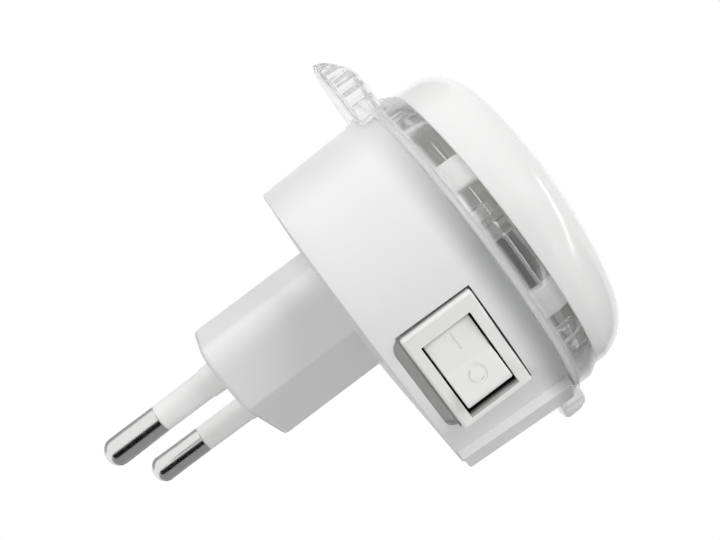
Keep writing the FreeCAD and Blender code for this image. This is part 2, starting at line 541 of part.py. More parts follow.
bar = block("mark_bar", "bar_l", "bar_w", "2", on_face(-s("bar_at")), (0, 0, -s("mark_deep")))
ring_face = on_face(s("ring_at"))
ring_cut = take("mark_ring", rod("ring_out", "ring_r", "2", ring_face.multiply(up("-mark_deep"))),
                rod("ring_in", "ring_in_r", "3", ring_face.multiply(up(-s("mark_deep") - 0.5))))
bore = rod("rocker_bore", "bore_r", "rocker_low + bore_top", spot(0, 0, -s("rocker_low")))
node("switch_rocker", take("rocker_solid", join("rocker_all", blank, arms), bar, ring_cut, bore), ROCK)
plunger = rod("plunger_rod", "plunger_r", "plunger_low - plunger_high", spot(0, 0, -s("plunger_low")))
plunger = rounded("plunger_solid", plunger, "spring_in_r",
                  lambda e: is_circle(e, "plunger_r", "-plunger_low"))
node("rocker_plunger", plunger, ROCK)
spring = take("spring_solid", rod("spring_out", "spring_r", "bore_top + plunger_high", up("-plunger_high")),
              rod("spring_hole", "spring_in_r", "10", up(-5)))
node("rocker_spring", spring, ROCK)

# contact blade, rocking the other way on the common terminal
blade_z = -s("pivot_deep") - s("blade_deep")
BLADE = SWITCH.multiply(spot(MID, 0, blade_z, Turn(ACROSS, s("blade_tilt"))))
strip = block("blade_strip", "blade_half * 2", "blade_w", "blade_t")
rivet = rod("blade_rivet", "contact_r", "contact_t + 0.1", spot(s("post_at"), 0, -s("contact_t")))
node("contact_blade", join("blade_solid", strip, rivet), BLADE)
low = -s("post_end_deep")
post = block("common_post", "post_t", "post_w", "common_long", None, (MID, 0, low))
edge_at = spot(MID, s("post_w") / 2, blade_z - s("blade_gap") - s("post_edge_r"), Turn(ALONG, 90))
edge = rod("common_edge", "post_edge_r", "post_w", edge_at)
node("common_terminal", join("common_solid", post, edge), SWITCH)
post_x = MID + s("post_at")
post = block("switched_post", "post_t", "post_w", "post_long", None, (post_x, 0, low))
button_at = spot(post_x, 0, blade_z - s("blade_drop") - s("button_t") - 0.2)
button = rod("switched_button", "contact_r", "button_t + 0.2", button_at)
node("switched_terminal", join("switched_solid", post, button), SWITCH)


# insulated leads, straight runs with round bends
def lead(label, points):
    """A round wire through the points; its frame is the drum's."""
    radius = s("bend_r")
    edges = []
    start = points[0]
    for here, after in zip(points[1:-1], points[2:]):
        back = (start - here).normalize()
        ahead = (after - here).normalize()
        half = back.getAngle(ahead) / 2
        reach = radius / math.tan(half)
        begin = here + back * reach
        end = here + ahead * reach
        middle = (back + ahead).normalize()
        top = here + middle * (radius / math.sin(half) - radius)
        edges.append(Part.LineSegment(start, begin).toShape())
        edges.append(Part.Arc(begin, top, end).toShape())
        start = end
    edges.append(Part.LineSegment(start, points[-1]).toShape())
    path = Part.Wire(edges)
    ring_edge = Part.Circle(points[0], points[1] - points[0], s("wire_r")).toShape()
    thing = doc.addObject("Part::Feature", label)
    thing.Shape = path.makePipeShell([Part.Wire([ring_edge])], True, False)
    NODES.append(thing)
    thing.Label = label
    thing.Placement = DRUM


def in_drum(place):
    return DRUM.inverse().multiply(place)


tab_z = s("shank_inside") + s("tab_long") + 0.02
pin_a = in_drum(PLUG.multiply(pin_frame(1))).multVec(V(0, 0, tab_z))
pin_b = in_drum(PLUG.multiply(pin_frame(-1))).multVec(V(0, 0, tab_z))
common = in_drum(SWITCH).multVec(V(MID, 0, low))
switched = in_drum(SWITCH).multVec(V(post_x, 0, low))
run_in = OUT * s("lead_run_in")
lead("lead_pin_switch", [pin_a, V(pin_a.x, pin_a.y, s("lead_level")), common - OUT * s("lead_turn"), common])
lead("lead_switch_board", [switched, switched - run_in, V(switched.x, switched.y, s("board_z")) - run_in])
lead("lead_pin_board", [pin_b, V(pin_b.x, pin_b.y, s("board_z"))])

doc.recompute()
for thing in doc.Objects:
    bad = [word for word in thing.State if word in ("Invalid", "Error")]
    if bad:
        raise RuntimeError("%s is %s" % (thing.Name, bad))
for thing in NODES:
    shape = thing.Shape
    if shape.isNull() or not shape.isValid() or not shape.Solids:
        raise RuntimeError("%s has no sound solid" % thing.Label)
    shape.exportStep("parts/%s.step" % thing.Label)
    print("%-24s solids %d  volume %9.2f" % (thing.Label, len(shape.Solids), shape.Volume))
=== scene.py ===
import math

import bmesh
import bpy
import numpy as np
from mathutils import Matrix, Vector


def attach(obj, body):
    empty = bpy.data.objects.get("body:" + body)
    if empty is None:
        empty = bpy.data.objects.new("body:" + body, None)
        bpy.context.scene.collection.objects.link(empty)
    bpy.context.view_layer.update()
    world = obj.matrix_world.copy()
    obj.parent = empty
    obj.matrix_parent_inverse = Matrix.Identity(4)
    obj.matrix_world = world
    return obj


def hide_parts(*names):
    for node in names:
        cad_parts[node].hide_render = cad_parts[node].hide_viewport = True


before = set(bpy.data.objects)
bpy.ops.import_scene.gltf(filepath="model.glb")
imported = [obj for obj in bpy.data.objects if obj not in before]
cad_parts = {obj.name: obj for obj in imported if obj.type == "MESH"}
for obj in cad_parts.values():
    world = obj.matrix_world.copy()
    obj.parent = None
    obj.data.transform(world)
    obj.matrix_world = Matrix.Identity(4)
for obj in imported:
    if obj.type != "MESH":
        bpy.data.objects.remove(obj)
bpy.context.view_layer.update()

# Real sizes in millimetres, in the working frame of the part's source:
# z runs from the pins to the dome, and x, y are measured from the drum's axis.
DRUM_OFFSET = 4.0
PIN_PITCH, PIN_LEAN, PIN_LENGTH, PIN_BARE, PIN_R = 18.6, 1.0, 19.0, 9.0, 2.0
SHANK_R, NECK_R, SLEEVE_TIP_R, SLEEVE_ROOT_R = 1.5, 1.7, 1.94, 2.0
COLLAR_LONG, COLLAR_R, COLLAR_ROOT_R, COLLAR_SEAT = 2.4, 2.12, 2.28, 0.3
RIM_Z, FLANGE_R, FLANGE_IN_R, FLANGE_T = 36.95, 24.6, 20.8, 0.8
BAND_R, BAND_IN_R, BAND_BEND_Z, SEAT_Z = 24.25, 22.5, 39.8, 41.4
SPIGOT_R, SPIGOT_DEEP = 21.95, 1.4
PETAL_R, PETAL_AT, PETAL_FIRST, PETAL_STEP, RIPPLES, WAVE = 9.0, 24.3, -65.0, 51.43, 24, 0.28
PETAL_BACK = 34.8
DOME_R, DOME_T, DOME_TOP, DOME_BALL, DOME_ROUND, DOME_SEAM = 23.3, 1.2, 51.65, 75.0, 6.5, 42.1
CROWN_LEAN, LEAN_START, LEAN_OVER = 2.6, 0.25, 2.6
LEG_W, LEG_IN_R, LEG_OUT_R, LEG_TOP, LEG_FIRST = 4.4, 20.9, 22.25, 43.8, -4.2
FRAME_FACE = (23.55 + DRUM_OFFSET * math.sqrt(0.5)) / 1000.0
RIB_W, RIB_IN_R, RIB_OUT_R, PEG_R, PEG_AT, PEG_LONG = 2.2, 21.1, 22.6, 0.9, 21.7, 2.6
LEGS, LEG_STEP, RIB_SHARE, PEG_TURN = 7, 360 / 7, 0.44, 7.5
PETALS, PETAL_HALF_WALL = 4, 0.8
# How high a petal's front stands over its back at each distance from the drum's axis.
PETAL_REACH = (24.0, 29.2, 30.2, 31.0, 32.6, 33.3)
PETAL_FRONT = (4.0, 4.0, 3.7, 3.2, 1.8, 0.9)

# Places in metres, on the object's own axes, where a finish changes or where painted shade begins.
# Painted shade near the drum's rim: from the first Y to the second the housing's colour greys, more the
# lower it lies.
RIM_SHADE_Y, RIM_SHADE_Z = (-0.0325, -0.0364), (0.019, -0.012)
FLANGE_Y, LOWEST_PETAL_Z = (-0.0374, -0.0386), (-0.026, -0.019)
# Painted shade in the switch's gaps: the frame's colour darkens from the first depth below its face to
# the second.
SWITCH_OUT = (-math.sqrt(0.5), 0.0, -math.sqrt(0.5))
GAP_SHADE_FROM, GAP_SHADE_TO = 0.0005, 0.0015

# The floor, in metres, and how pale it is made where the camera sees it.
FLOOR_HALF, FLOOR_LEVEL, FLOOR_PALE = 1.2, -0.32, 0.45
LAMP_DISTANCE = 0.5

# The camera of the photograph, worked out from the pins, the drum and the dome.
CAMERA_AT = (-0.16356, -0.02136, -0.05605)
CAMERA_RIGHT = (0.1959, -0.7987, -0.5690)
CAMERA_UP = (-0.2785, -0.6016, 0.7486)
FOCAL_PX, FRAME_PX, SENSOR_MM = 1220.4, 720, 36.0


def in_frame(points, centre_y=DRUM_OFFSET):
    """Working millimetres to the object's metres: the dome faces -Y and the petals are up."""
    x, y, z = points[..., 0], points[..., 1] + centre_y, points[..., 2]
    return np.stack((-x, -z, -y), axis=-1) / 1000.0


def arc(centre, radius, start, end, steps):
    """Points on a circle from one angle to another, in degrees."""
    t = np.radians(np.linspace(start, end, steps))
    return np.stack((centre[0] + radius * np.cos(t), centre[1] + radius * np.sin(t)), axis=-1)


def softened(corners, radius, steps=5):
    """A closed outline whose corners become curves of the given reach: a blend of the two sides."""
    corners = np.asarray(corners, float)
    before = np.roll(corners, 1, axis=0) - corners
    after = np.roll(corners, -1, axis=0) - corners
    reach = np.minimum(radius,
                       0.45 * np.minimum(np.linalg.norm(before, axis=1),
                                         np.linalg.norm(after, axis=1)))
    a = corners + before / np.linalg.norm(before, axis=1)[:, None] * reach[:, None]
    b = corners + after / np.linalg.norm(after, axis=1)[:, None] * reach[:, None]
    t = np.linspace(0, 1, steps)[None, :, None]
    curve = (1 - t) ** 2 * a[:, None] + 2 * t * (1 - t) * corners[:, None] + t ** 2 * b[:, None]
    return curve.reshape(-1, 2)


def surface(name, points, closed_rows=True, closed_columns=True, sharp=40.0):
    """A mesh over a grid of points (rows, columns, 3), its faces turned outward by its volume."""
    rows, columns = points.shape[:2]
    i = np.arange(rows if closed_rows else rows - 1)[:, None]
    j = np.arange(columns if closed_columns else columns - 1)[None, :]
    up, along = (i + 1) % rows, (j + 1) % columns
    faces = np.stack((i * columns + j, up * columns + j, up * columns + along,
                      i * columns + along), axis=-1).reshape(-1, 4)
    flat = points.reshape(-1, 3)
    a, b, c, d = (flat[faces[:, k]] for k in range(4))
    volume = np.sum(a * np.cross(b, c)) + np.sum(a * np.cross(c, d))
    if volume < 0:
        faces = faces[:, ::-1]
    mesh = bpy.data.meshes.new(name)
    mesh.from_pydata(flat.tolist(), [], faces.tolist())
    return finished(mesh, sharp)


def finished(mesh, sharp):
    """Doubles merged, smooth shading with edges kept crisp past the given angle."""
    work = bmesh.new()
    work.from_mesh(mesh)
    bmesh.ops.remove_doubles(work, verts=work.verts, dist=1e-6)
    bmesh.ops.dissolve_degenerate(work, dist=1e-7, edges=work.edges)
    work.to_mesh(mesh)
    work.free()
    mesh.shade_smooth()
    mesh.set_sharp_from_angle(angle=math.radians(sharp))
    return mesh


def merged(name, meshes):
    """Several meshes as one."""
    work = bmesh.new()
    for mesh in meshes:
        work.from_mesh(mesh)
    whole = bpy.data.meshes.new(name)
    work.to_mesh(whole)
    work.free()
    return whole


def piece(name, mesh, look, body="housing", stands_for=()):
    made = bpy.data.objects.new(name, mesh)
    bpy.context.scene.collection.objects.link(made)
    made.data.materials.clear()
    made.data.materials.append(look)
    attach(made, body)
    if stands_for:
        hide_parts(*stands_for)
    return made


def turned(name, outline, segments=256, about=None, sharp=40.0):
    """A closed outline of (radius, z) spun about an axis; about moves the points into place."""
    outline = np.asarray(outline, float)
    t = np.linspace(0, 2 * np.pi, segments, endpoint=False)[:, None]
    r, z = outline[None, :, 0], outline[None, :, 1]
    points = np.stack((r * np.cos(t), r * np.sin(t), z + 0 * t), axis=-1)
    return surface(name, in_frame(points) if about is None else about(points), sharp=sharp)


def around(points, degrees):
    """Points turned about the drum's axis."""
    t = math.radians(degrees)
    turn = np.array(((math.cos(t), -math.sin(t), 0), (math.sin(t), math.cos(t), 0), (0, 0, 1)))
    return points @ turn.T


def rounded_block(name, size, centre, degrees, edge=0.25):
    """A soft-edged block: a rounded rectangle carried up and drawn in at both ends."""
    half = np.array(size[:2]) / 2
    plan = softened([(half[0], half[1]), (-half[0], half[1]), (-half[0], -half[1]),
                     (half[0], -half[1])], edge * 2)
    drawn = [(0, 0.0), (0, 1 - edge / half.min()), (edge * 0.3, 1 - edge * 0.3 / half.min()),
             (edge, 1)]
    levels = drawn + [(size[2] - h, k) for h, k in reversed(drawn)]
    grid = np.array([[(x * k, y * k, h - size[2] / 2) for x, y in plan] for h, k in levels])
    return surface(name, in_frame(around(grid + np.array(centre), degrees)), closed_rows=False)


# Materials

def linear(colour):
    """An sRGB hex colour as linear numbers."""
    parts = [int(colour[i:i + 2], 16) / 255 for i in (1, 3, 5)]
    curve = (c / 12.92 if c <= 0.04045 else ((c + 0.055) / 1.055) ** 2.4 for c in parts)
    return tuple(curve) + (1.0,)


def per_mm(size):
    """A texture's scale for features of the given size in millimetres, on coordinates in metres."""
    return 1000.0 / size


def add(tree, kind, inputs=None, **settings):
    """One node with its settings; an input is a value, or a socket to link from."""
    node = tree.nodes.new(kind)
    for name, value in settings.items():
        setattr(node, name, value)
    for name, value in (inputs or {}).items():
        if isinstance(value, bpy.types.NodeSocket):
            tree.links.new(value, node.inputs[name])
        else:
            node.inputs[name].default_value = value
    return node


def blank(name):
    """A new material's tree with its shader and its Object coordinates."""
    look = bpy.data.materials.new(name)
    look.use_nodes = True
    tree = look.node_tree
    shader = tree.nodes["Principled BSDF"]
    return look, tree, shader, add(tree, "ShaderNodeTexCoord").outputs["Object"]


def shaded(tree, shader, **values):
    """Values set on the shader's own sockets."""
    for name, value in values.items():
        shader.inputs[name.replace("_", " ")].default_value = value


def mottled(tree, where, light, dark, size, soft=0.5):
    """Two close tones of one colour in slow patches of the given size."""
    patches = add(tree, "ShaderNodeTexNoise",
                  {"Vector": where, "Scale": per_mm(size), "Detail": 3.0, "Roughness": soft})
    return add(tree, "ShaderNodeMix", {"Factor": patches.outputs["Fac"], "A": linear(dark),
                                       "B": linear(light)},
               data_type="RGBA").outputs["Result"]


def grained(tree, shader, where, size, depth, stretch=(1, 1, 1)):
    """A bump of the given grain size and depth, both in millimetres."""
    spread = add(tree, "ShaderNodeMapping", {"Vector": where, "Scale": stretch})
    grain = add(tree, "ShaderNodeTexNoise",
                {"Vector": spread.outputs["Vector"], "Scale": per_mm(size), "Detail": 2.0})
    bump = add(tree, "ShaderNodeBump",
               {"Height": grain.outputs["Fac"], "Distance": depth / 1000.0, "Strength": 1.0})
    tree.links.new(bump.outputs["Normal"], shader.inputs["Normal"])


def worn_gloss(tree, shader, where, low, high, size):
    """Roughness that wanders between two values, as handled plastic's does."""
    patches = add(tree, "ShaderNodeTexNoise",
                  {"Vector": where, "Scale": per_mm(size), "Detail": 4.0})
    spread = add(tree, "ShaderNodeMapRange",
                 {"Value": patches.outputs["Fac"], "From Min": 0.3, "From Max": 0.7,
                                             "To Min": low, "To Max": high})
    tree.links.new(spread.outputs["Result"], shader.inputs["Roughness"])


def moulded(name, light, dark, gloss, grain=0.35, depth=0.0012, tint=14.0):
    """Injection-moulded plastic: close tones, a wandering satin gloss, the tool's fine spark grain."""
    look, tree, shader, where = blank(name)
    shaded(tree, shader, IOR=1.5)
    tree.links.new(mottled(tree, where, light, dark, tint), shader.inputs["Base Color"])
    worn_gloss(tree, shader, where, gloss[0], gloss[1], 6.0)
    grained(tree, shader, where, grain, depth)
    return look


def housing_abs():
    """White ABS, injection moulded: a satin skin from a polished tool.

    Painted shade: the colour greys near the rim, most toward the bottom, standing in for the shade that
    falls behind the flange there.
    """
    look, tree, shader, where = blank("housing_white_abs_moulded")
    shaded(tree, shader, IOR=1.5)
    worn_gloss(tree, shader, where, 0.30, 0.38, 6.0)
    grained(tree, shader, where, 0.5, 0.0012)
    place = add(tree, "ShaderNodeSeparateXYZ", {"Vector": where})
    near_rim = add(tree, "ShaderNodeMapRange",
              {"Value": place.outputs["Y"], "From Min": RIM_SHADE_Y[0], "From Max": RIM_SHADE_Y[1]},
              interpolation_type="SMOOTHSTEP")
    low = add(tree, "ShaderNodeMapRange",
              {"Value": place.outputs["Z"], "From Min": RIM_SHADE_Z[0], "From Max": RIM_SHADE_Z[1]})
    rim_shade_share = add(tree, "ShaderNodeMath", {0: near_rim.outputs["Result"], 1: low.outputs["Result"]},
               operation="MULTIPLY")
    tones = mottled(tree, where, "#F2F2F1", "#EDEEED", 14.0)
    # Painted shade: the colour goes toward grey #AFB0B0 near the rim and low down, where shade falls
    # behind the flange.
    skin = add(tree, "ShaderNodeMix", {"Factor": rim_shade_share.outputs[0], "A": tones,
                                       "B": linear("#AFB0B0")}, data_type="RGBA")
    tree.links.new(skin.outputs["Result"], shader.inputs["Base Color"])
    return look


def lets_light_in(tree, shader, held):
    """The share of the light that a clear or milky wall holds back from what stands behind it."""
    path = add(tree, "ShaderNodeLightPath")
    wall = add(tree, "ShaderNodeMapRange",
               {"Value": path.outputs["Is Shadow Ray"], "To Min": 1.0, "To Max": held})
    tree.links.new(wall.outputs["Result"], shader.inputs["Alpha"])


def opal_pmma():
    """Opal acrylic, moulded and polished: bright gloss over a milky body that glows from behind."""
    look, tree, shader, where = blank("opal_acrylic_polished")
    shaded(tree, shader, IOR=1.49, Subsurface_Weight=0.25, Subsurface_Radius=(1.0, 0.97, 0.94),
           Subsurface_Scale=0.0015)
    tree.links.new(mottled(tree, where, "#F5F5F4", "#F2F2F1", 14.0), shader.inputs["Base Color"])
    worn_gloss(tree, shader, where, 0.14, 0.20, 6.0)
    grained(tree, shader, where, 3.0, 0.0015)
    lets_light_in(tree, shader, 0.55)
    return look


def clear_polystyrene(name, axis, start, end, milky, clear):
    """Clear polystyrene, moulded: ripples in its skin from the mould's flow.

    Where the tool is rough it scatters the light: milky to clear between two places on an axis.
    """
    look, tree, shader, where = blank(name)
    shaded(tree, shader, Base_Color=linear("#FAFAFA"), IOR=1.34)
    place = add(tree, "ShaderNodeSeparateXYZ", {"Vector": where})
    through = add(tree, "ShaderNodeMapRange",
                  {"Value": place.outputs[axis], "From Min": start, "From Max": end,
                                              "To Min": milky, "To Max": clear})
    tree.links.new(through.outputs["Result"], shader.inputs["Transmission Weight"])
    worn_gloss(tree, shader, where, 0.06, 0.16, 3.0)
    grained(tree, shader, where, 1.6, 0.015)
    lets_light_in(tree, shader, 0.15)
    return look


def nickel_plate():
    """Bright nickel on turned brass: a mirror with hair-fine lines round the pin from turning."""
    look, tree, shader, where = blank("nickel_plate_on_turned_brass")
    shaded(tree, shader, Metallic=1.0)
    tree.links.new(mottled(tree, where, "#E9E9E8", "#DCDCDB", 1.5), shader.inputs["Base Color"])
    worn_gloss(tree, shader, where, 0.17, 0.24, 1.2)
    grained(tree, shader, where, 0.6, 0.0004, stretch=(0.15, 3.0, 0.15))
    return look


def frame_nylon():
    """White nylon, moulded satin.

    Painted shade: the walls darken to near black with the depth below the frame's face, standing in for
    the shade in the gaps round the rocker.
    """
    look, tree, shader, where = blank("switch_frame_white_nylon_painted_gap_shade")
    worn_gloss(tree, shader, where, 0.36, 0.44, 6.0)
    grained(tree, shader, where, 0.3, 0.001)
    out = add(tree, "ShaderNodeVectorMath", {0: where, 1: SWITCH_OUT},
              operation="DOT_PRODUCT")
    inside = add(tree, "ShaderNodeMapRange",
                 {"Value": out.outputs["Value"], "From Min": FRAME_FACE - GAP_SHADE_FROM,
                                             "From Max": FRAME_FACE - GAP_SHADE_TO})
    tones = mottled(tree, where, "#F9F9F7", "#F5F5F3", 14.0)
    # Painted shade: the colour goes toward near black #1C1C1C with depth, for the shade in the gaps round
    # the rocker.
    skin = add(tree, "ShaderNodeMix", {"Factor": inside.outputs["Result"], "A": tones,
                                       "B": linear("#1C1C1C")}, data_type="RGBA")
    tree.links.new(skin.outputs["Result"], shader.inputs["Base Color"])
    return look


def stamped_metal(name, light, dark, rough):
    """Rolled and stamped sheet metal: rolling lines along it and a soft sheen."""
    look, tree, shader, where = blank(name)
    shaded(tree, shader, Metallic=1.0)
    tree.links.new(mottled(tree, where, light, dark, 1.2), shader.inputs["Base Color"])
    worn_gloss(tree, shader, where, rough, rough + 0.12, 0.8)
    grained(tree, shader, where, 0.3, 0.001, stretch=(1, 0.1, 1))
    return look


def lamp_face():
    """A white chip lamp: a matt white body round a yellow phosphor window."""
    look, tree, shader, where = blank("chip_lamp_phosphor_gel")
    tree.links.new(mottled(tree, where, "#EFEBDB", "#E3DDC6", 0.8), shader.inputs["Base Color"])
    worn_gloss(tree, shader, where, 0.25, 0.4, 0.8)
    return look


HOUSING = housing_abs()
OPAL = opal_pmma()
CLEAR = clear_polystyrene("clear_polystyrene_band_rough_flange", "Y", *FLANGE_Y, 0.35, 0.93)
CLEAR_PETAL = clear_polystyrene("clear_polystyrene_petals_moulded", "Z", *LOWEST_PETAL_Z, 0.35, 0.8)
NICKEL = nickel_plate()
# Plain moulded nylon: duller than the housing, and a little whiter, on the sleeves and the rocker.
SLEEVE = moulded("pin_sleeve_white_nylon", "#FAFAF9", "#F6F6F5", (0.42, 0.5), grain=0.3,
                 depth=0.001)
FRAME_LOOK = frame_nylon()
ROCKER_LOOK = moulded("rocker_white_nylon", "#FBFBF9", "#F7F7F5", (0.38, 0.46), grain=0.3,
                      depth=0.001)
# What the clear ring lets one glimpse: flat solder mask, black epoxy, lacquer and potting are dull,
# the can's shrunk sleeve and the leads' PVC a little glossy, and stamped or plated metal shines.
CARRIED = {
    "led_board": moulded("board_white_solder_mask", "#E4E6E1", "#DADCD6", (0.35, 0.5)),
    "leds": lamp_face(),
    "board_screws": stamped_metal("screw_zinc_plated_steel", "#A9ABAE", "#8E9093", 0.3),
    "bridge_rectifier": moulded("rectifier_black_epoxy", "#161616", "#101010", (0.45, 0.6),
                                grain=0.2, depth=0.003),
    "resistors": moulded("resistor_grey_lacquer", "#B7B6B3", "#A5A4A1", (0.3, 0.4)),
    "film_capacitor": moulded("film_case_grey_potted", "#BEBEBB", "#B0B0AD", (0.35, 0.45)),
    "electrolytic_capacitor": moulded("can_black_shrunk_sleeve", "#1B1D22", "#15171B",
                                      (0.25, 0.35)),
    "rocker_plunger": moulded("plunger_natural_nylon", "#E2DFD3", "#D8D5C8", (0.35, 0.45)),
    "rocker_spring": stamped_metal("spring_drawn_steel", "#9B9C9E", "#858688", 0.3),
    "contact_blade": stamped_metal("contact_stamped_brass", "#C9A35A", "#B89047", 0.25),
    "common_terminal": stamped_metal("common_terminal_stamped_brass", "#C9A35A", "#B89047", 0.25),
    "switched_terminal": stamped_metal("switched_terminal_stamped_brass", "#C9A35A", "#B89047",
                                       0.25),
    "lead_pin_switch": moulded("lead_white_pvc_a", "#E8E8E6", "#DEDEDC", (0.4, 0.5)),
    "lead_switch_board": moulded("lead_white_pvc_b", "#E8E8E6", "#DEDEDC", (0.4, 0.5)),
    "lead_pin_board": moulded("lead_white_pvc_c", "#E8E8E6", "#DEDEDC", (0.4, 0.5)),
}


# Pieces

def carried_copy(node, name, look, body="housing", sharp=24.0):
    """A CAD node's own form with its loose triangles merged, so that its curves shade smoothly."""
    mesh = finished(bpy.data.objects[node].data.copy(), sharp)
    mesh.name = name
    return piece(name, mesh, look, body, (node,))


def dome():
    """The dome: a short cylinder, a round shoulder and a shallow ball, spun, and a skin inside it.

    The crown leans: past the seam a point's height falls with how low on the object it lies.
    """
    def leaning(points):
        share = np.clip((points[..., 2] - DOME_SEAM - LEAN_START) / LEAN_OVER, 0, 1)
        drop = math.tan(math.radians(CROWN_LEAN)) * points[..., 1] * share
        return in_frame(points - np.stack((0 * drop, 0 * drop, drop), axis=-1))

    def skin(radius, ball, top, bend, foot):
        centre_r = radius - bend
        centre_z = top - ball + math.sqrt((ball - bend) ** 2 - centre_r ** 2)
        meet = math.degrees(math.atan2(centre_z - (top - ball), centre_r))
        shoulder = arc((centre_r, centre_z), bend, 0, meet, 24)
        crown = arc((0, top - ball), ball, meet, 90, 40)[1:]
        return np.vstack(([(radius, foot)], shoulder, crown))
    outer = skin(DOME_R, DOME_BALL, DOME_TOP, DOME_ROUND, DOME_SEAM + 0.22)
    inner = skin(DOME_R - DOME_T, DOME_BALL - DOME_T, DOME_TOP - DOME_T, DOME_ROUND - DOME_T,
                 SEAT_Z)
    foot = [(DOME_R - 0.12, SEAT_Z), (DOME_R, SEAT_Z + 0.12)]
    shell = turned("opal_dome_shell", np.vstack((foot, outer, inner[::-1])), about=leaning)
    size = (LEG_OUT_R - LEG_IN_R, LEG_W, LEG_TOP - RIM_Z - FLANGE_T)
    centre = ((LEG_OUT_R + LEG_IN_R) / 2, 0, (LEG_TOP + RIM_Z + FLANGE_T) / 2)
    legs = [rounded_block("leg", size, centre, LEG_FIRST + k * LEG_STEP) for k in range(LEGS)]
    piece("opal_dome_shell", shell, OPAL, stands_for=("opal_dome",))
    piece("opal_dome_legs", merged("opal_dome_legs", legs), OPAL, stands_for=("opal_dome",))


def clear_band():
    """The clear ring, spun: a flange, a band that draws in under the dome, a spigot into the drum."""
    corners = [(FLANGE_IN_R, RIM_Z), (FLANGE_IN_R, RIM_Z + FLANGE_T),
               (BAND_IN_R, RIM_Z + FLANGE_T), (BAND_IN_R, SEAT_Z),
               (DOME_R, SEAT_Z), (BAND_R, BAND_BEND_Z), (BAND_R,
                                                         RIM_Z + FLANGE_T), (FLANGE_R,
                                                                             RIM_Z + FLANGE_T),
               (FLANGE_R, RIM_Z), (SPIGOT_R,
                                   RIM_Z), (SPIGOT_R,
                                            RIM_Z - SPIGOT_DEEP), (FLANGE_IN_R,
                                                                   RIM_Z - SPIGOT_DEEP)]
    return turned("clear_band", softened(corners, 0.18))


def petal(angle):
    """A round clear lobe with a rippled edge.

    The edge is a circle whose radius rises and falls in a cosine, its top falls away with the
    distance from the drum's axis, and the points that would reach inside the band stay on it.
    """
    t = np.linspace(0, 2 * np.pi, RIPPLES * 10, endpoint=False)[None, :]
    rim = PETAL_R - WAVE * (1 - np.abs(np.cos(t * RIPPLES / 2)))
    levels = [(0.001, 1, 0), (0.3, 1, 0), (0.6, 1, 0), (0.85, 1, 0), (0.96, 1, 0.12),
              (0.99, 1, 0.35), (1, 1, 0.8),
              (1, 0, 0.8), (0.99, 0, 0.35), (0.96, 0,
                                             0.12), (0.85, 0, 0), (0.3, 0, 0), (0.001, 0, 0)]
    share, top, drop = (np.array(column)[:, None] for column in zip(*levels))
    x = PETAL_AT + share * rim * np.cos(t)
    y = share * rim * np.sin(t)
    reach = np.hypot(x, y)
    grow = np.maximum(1, (BAND_R - 0.05) / reach)
    x, y, reach = x * grow, y * grow, reach * grow
    front = PETAL_BACK + np.interp(reach, PETAL_REACH, PETAL_FRONT)
    z = np.where(top > 0, front - drop * PETAL_HALF_WALL, PETAL_BACK + drop * PETAL_HALF_WALL)
    points = around(np.stack((x, y, z + 0 * x), axis=-1), angle)
    return surface("petal", in_frame(points), closed_rows=False, sharp=60.0)


def clear_ring():
    petals = [petal(PETAL_FIRST - k * PETAL_STEP) for k in range(PETALS)]
    posts = []
    for k in range(LEGS):
        angle = LEG_FIRST + LEG_STEP * (k + RIB_SHARE)
        size = (RIB_OUT_R - RIB_IN_R, RIB_W, SEAT_Z - 0.4 - RIM_Z - FLANGE_T)
        centre = ((RIB_OUT_R + RIB_IN_R) / 2, 0, (SEAT_Z - 0.4 + RIM_Z + FLANGE_T) / 2)
        posts.append(rounded_block("rib", size, centre, angle, 0.2))
        foot = RIM_Z + FLANGE_T - 0.02
        outline = [(1e-3, foot), (PEG_R, foot), (PEG_R, foot + PEG_LONG - 0.3),
                   (PEG_R - 0.3, foot + PEG_LONG), (1e-3, foot + PEG_LONG)]

        def stand(points, turn=angle - PEG_TURN):
            return in_frame(around(points + np.array((PEG_AT, 0, 0)), turn))
        posts.append(turned("peg", outline, 24, stand))
    piece("clear_band", clear_band(), CLEAR, stands_for=("clear_petal_ring",))
    piece("clear_petals", merged("clear_petals", petals), CLEAR_PETAL,
          stands_for=("clear_petal_ring",))
    piece("clear_posts", merged("clear_posts", posts), CLEAR, stands_for=("clear_petal_ring",))


def on_pin(side):
    """Moves points from a pin's own axis into place: shifted out and leaned in."""
    lean = math.radians(side * PIN_LEAN)
    turn = np.array(((math.cos(lean), 0, math.sin(lean)), (0, 1, 0),
                     (-math.sin(lean), 0, math.cos(lean))))
    return lambda points: in_frame(points @ turn.T + np.array((side * PIN_PITCH / 2, 0, 0)), 0.0)


def pins():
    """The pins and sleeves: outlines spun about each leaning axis, the tip a quarter round."""
    tip = PIN_LENGTH
    bare = np.vstack(([(1e-3, -tip)], [(PIN_R - 1.8, -tip)],
                      arc((PIN_R - 1.8, 1.8 - tip), 1.8, -90, 0, 14),
                      [(PIN_R, PIN_BARE - tip - 0.08), (PIN_R - 0.08, PIN_BARE - tip),
                       (SHANK_R, PIN_BARE - tip)],
                      [(SHANK_R, 12.0), (1e-3, 12.0)]))
    sleeve = softened([(SHANK_R + 0.01, PIN_BARE - tip), (SLEEVE_TIP_R, PIN_BARE - tip),
                       (SLEEVE_ROOT_R, -COLLAR_LONG),
                       (COLLAR_R,
                        -COLLAR_LONG), (COLLAR_ROOT_R,
                                        COLLAR_SEAT), (NECK_R, COLLAR_SEAT), (NECK_R, 3.0),
                       (SHANK_R + 0.01, 3.0)], 0.1)
    for label, side in (("left", -1), ("right", 1)):
        piece("pin_%s_turned" % label, turned("pin", bare, 96, on_pin(side)), NICKEL,
              stands_for=("pin_" + label,))
        piece("sleeve_%s_moulded" % label, turned("sleeve", sleeve, 96, on_pin(side)), SLEEVE,
              stands_for=("sleeve_" + label,))


def dress_carried():
    for node, look in CARRIED.items():
        target = bpy.data.objects[node]
        target.data.materials.clear()
        target.data.materials.append(look)


# Stage, light and camera

